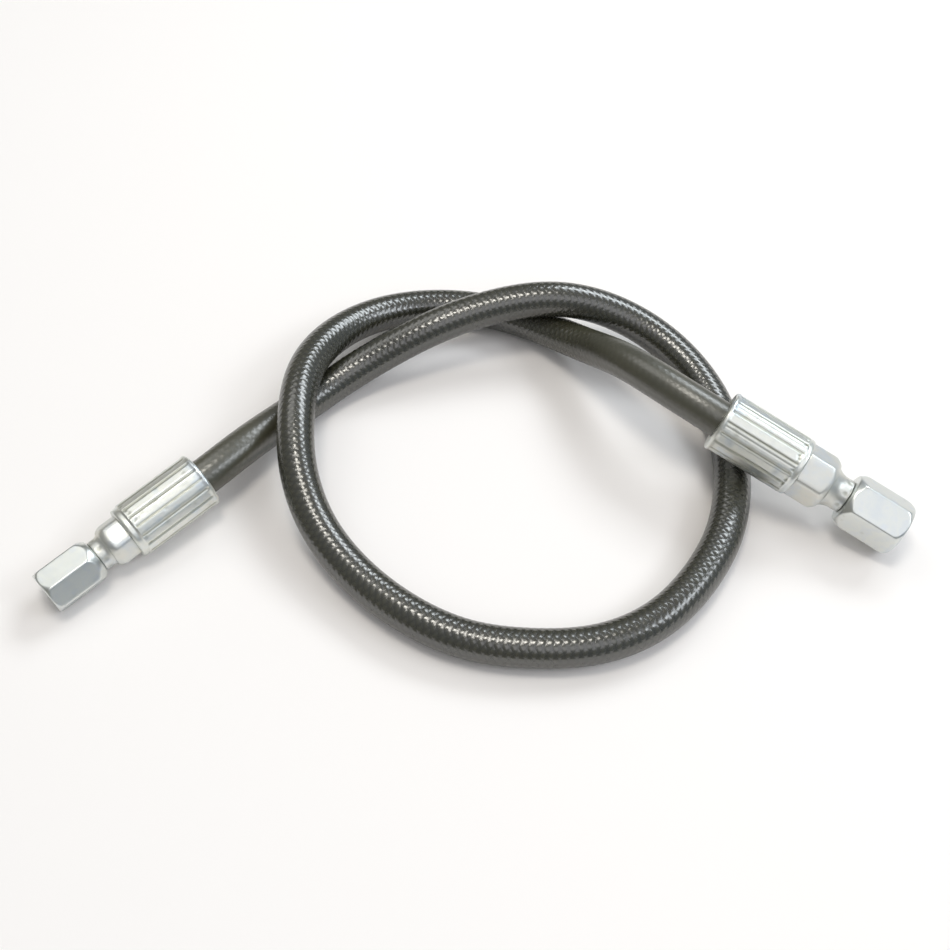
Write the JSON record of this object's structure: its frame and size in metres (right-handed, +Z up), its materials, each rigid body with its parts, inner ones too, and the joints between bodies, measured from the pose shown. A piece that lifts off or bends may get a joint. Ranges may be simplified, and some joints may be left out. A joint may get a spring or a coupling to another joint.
{
  "type": "hydraulic hose assembly",
  "caption": "Black braided-texture hydraulic hose lying in a loose overhand knot, with a crimped zinc-plated fitting and hexagonal swivel nut on each end.",
  "frame": {"origin": "on the floor, under the middle of the box round the two fittings", "axes": "+X from the small fitting towards the large one, +Y across the loop away from the viewer, +Z up from the floor the hose lies on"},
  "size_m": [0.3158, 0.1709, 0.0403],
  "materials": {
    "hose_rubber": "semi-gloss black synthetic rubber with the braid showing through as fine oblique pips",
    "ferrule_zinc": "bright zinc plate over crimped steel, with light die marks",
    "stem_zinc": "bright zinc plate over turned steel",
    "nut_zinc": "bright zinc plate, smooth flats"
  },
  "bodies": {
    "hose_assembly": {"hose": "hose_rubber", "ferrule_a": "ferrule_zinc", "stem_a": "stem_zinc", "ferrule_b": "ferrule_zinc", "stem_b": "stem_zinc"},
    "nut_a": {"swivel_nut_a": "nut_zinc"},
    "nut_b": {"swivel_nut_b": "nut_zinc"}
  },
  "joints": [
    {"name": "nut_a_swivel", "type": "hinge", "parent": "hose_assembly", "child": "nut_a", "pos_m": [-0.13687, -0.01831, 0.0097], "axis": [-0.7366, -0.6712, -0.0833], "continuous": true},
    {"name": "nut_b_swivel", "type": "hinge", "parent": "hose_assembly", "child": "nut_b", "pos_m": [0.1335, 0.00333, 0.01593], "axis": [0.8439, -0.475, -0.2494], "continuous": true}
  ]
}
